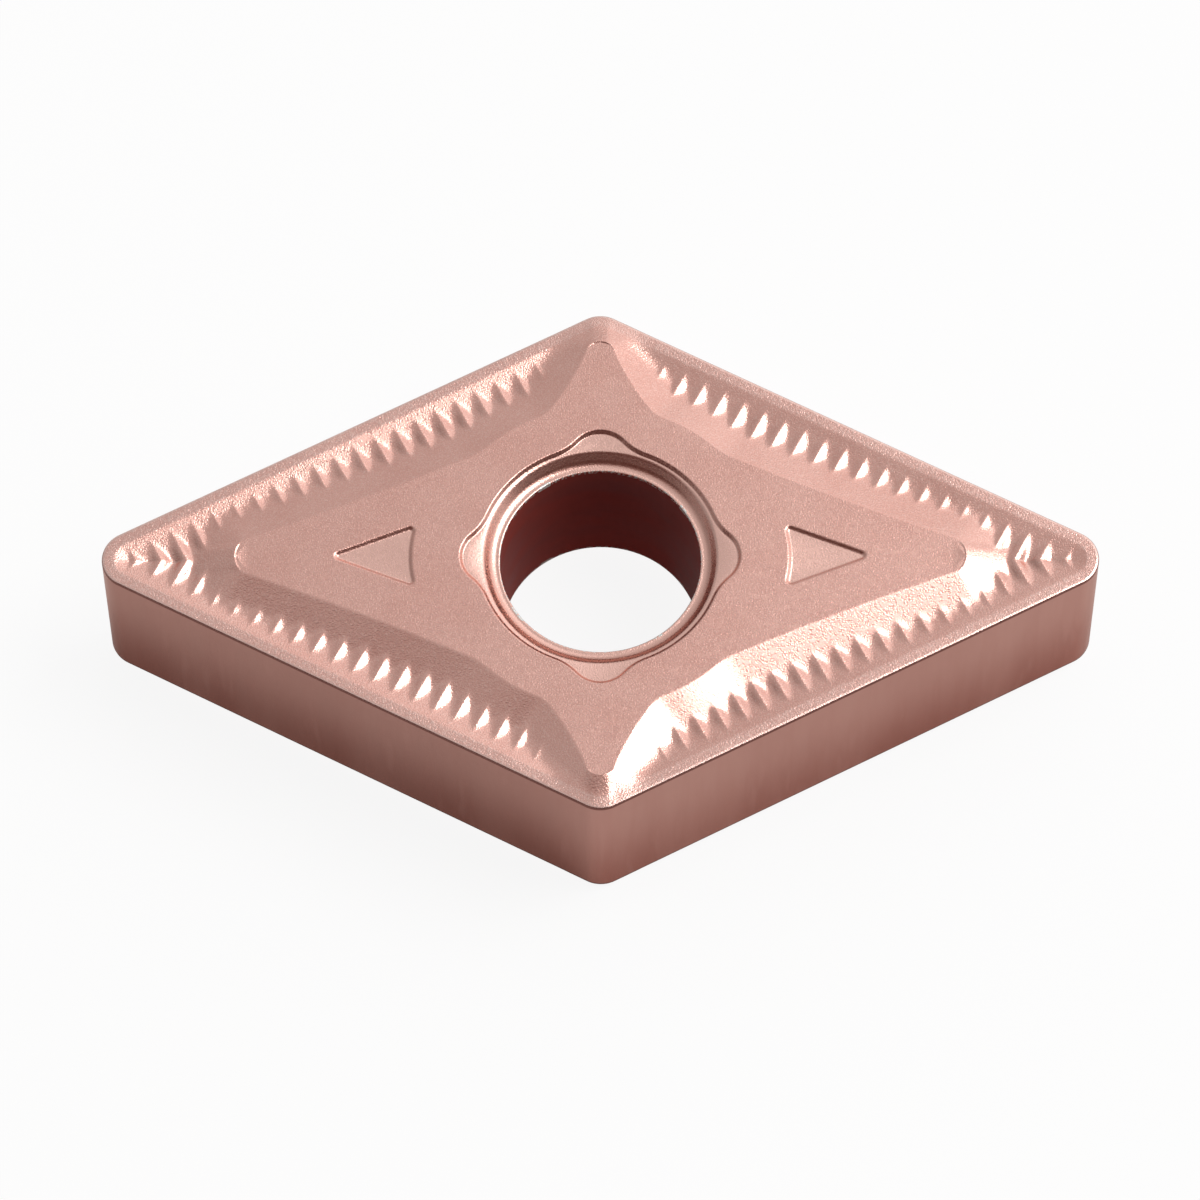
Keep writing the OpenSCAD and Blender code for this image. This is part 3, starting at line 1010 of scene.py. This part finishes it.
# %% World
world = bpy.data.worlds.new("studio")
bpy.context.scene.world = world
world.use_nodes = True
tree = world.node_tree
direction = add(tree, "SeparateXYZ", {0: add(tree, "TexCoord").outputs["Generated"]}).outputs
bright, dark, low = 0.53, 0.1, 0.4
shares = (("X", -1.0, -0.35, 0.55, 1.0), ("Y", 0.5, 0.85, 1.0, 1.08),
          ("X", -0.12, 0.12, 1.05, 0.93), ("X", 0.8, 1.0, 1.0, 1.9))
in_front = ramp(tree, direction["Y"], -0.12, -0.42)
level = ramp(tree, direction["Y"], -0.12, -0.42, bright, dark)
for axis, *limits in shares:
    level = calc(tree, "MULTIPLY", level, ramp(tree, direction[axis], *limits))
level = calc(tree, "MAXIMUM", level, ramp(tree, direction["Z"], 0.36, 0.18, 0.0, low))
tree.links.new(level, tree.nodes["Background"].inputs["Strength"])
warm = calc(tree, "MULTIPLY", in_front, ramp(tree, direction["Z"], 0.18, 0.36))
tone = blend(tree, warm, (1, 1, 1), (1, 0.5, 0.42))
tree.links.new(tone, tree.nodes["Background"].inputs["Color"])
print("world:", len(tree.nodes), "nodes")

# %% [markdown]
# ## The lamps
# Two round lamps give the highlights. The key stands high on the right and lights one flank of each
# ridge. A large weak one stands behind. A sun or a point lamp would give hard glints, while satin
# metal under a wide face gives the soft ones of the photo. Each lamp is set by the brightness of
# its face, as that is what the metal mirrors, and its power follows from its size.

# %% Lamps
lamp_distance = 0.35


def softbox(name, turn, height, radius, brightness):
    """A round lamp that faces the insert: turn and height in degrees, brightness of its face."""
    lamp = bpy.data.lights.new(name, "AREA")
    lamp.shape = "DISK"
    lamp.size = 2 * radius
    lamp.energy = brightness * math.pi * math.pi * radius * radius
    lamp_object = bpy.data.objects.new(name, lamp)
    turn, height = math.radians(turn), math.radians(height)
    flat = Vector((math.cos(turn), math.sin(turn), 0))
    place = lamp_distance * (flat * math.cos(height) + Vector((0, 0, math.sin(height))))
    lamp_object.location = place
    lamp_object.rotation_euler = (-place).to_track_quat("-Z", "Y").to_euler()
    bpy.context.scene.collection.objects.link(lamp_object)
    print(name, round(lamp.energy, 2), "W")


softbox("key_lamp", 11.3, 57.3, 0.1085, 5.3)
softbox("back_lamp", 48.5, 35.8, 0.222, 0.5)

bpy.context.scene.view_settings.view_transform = "Standard"
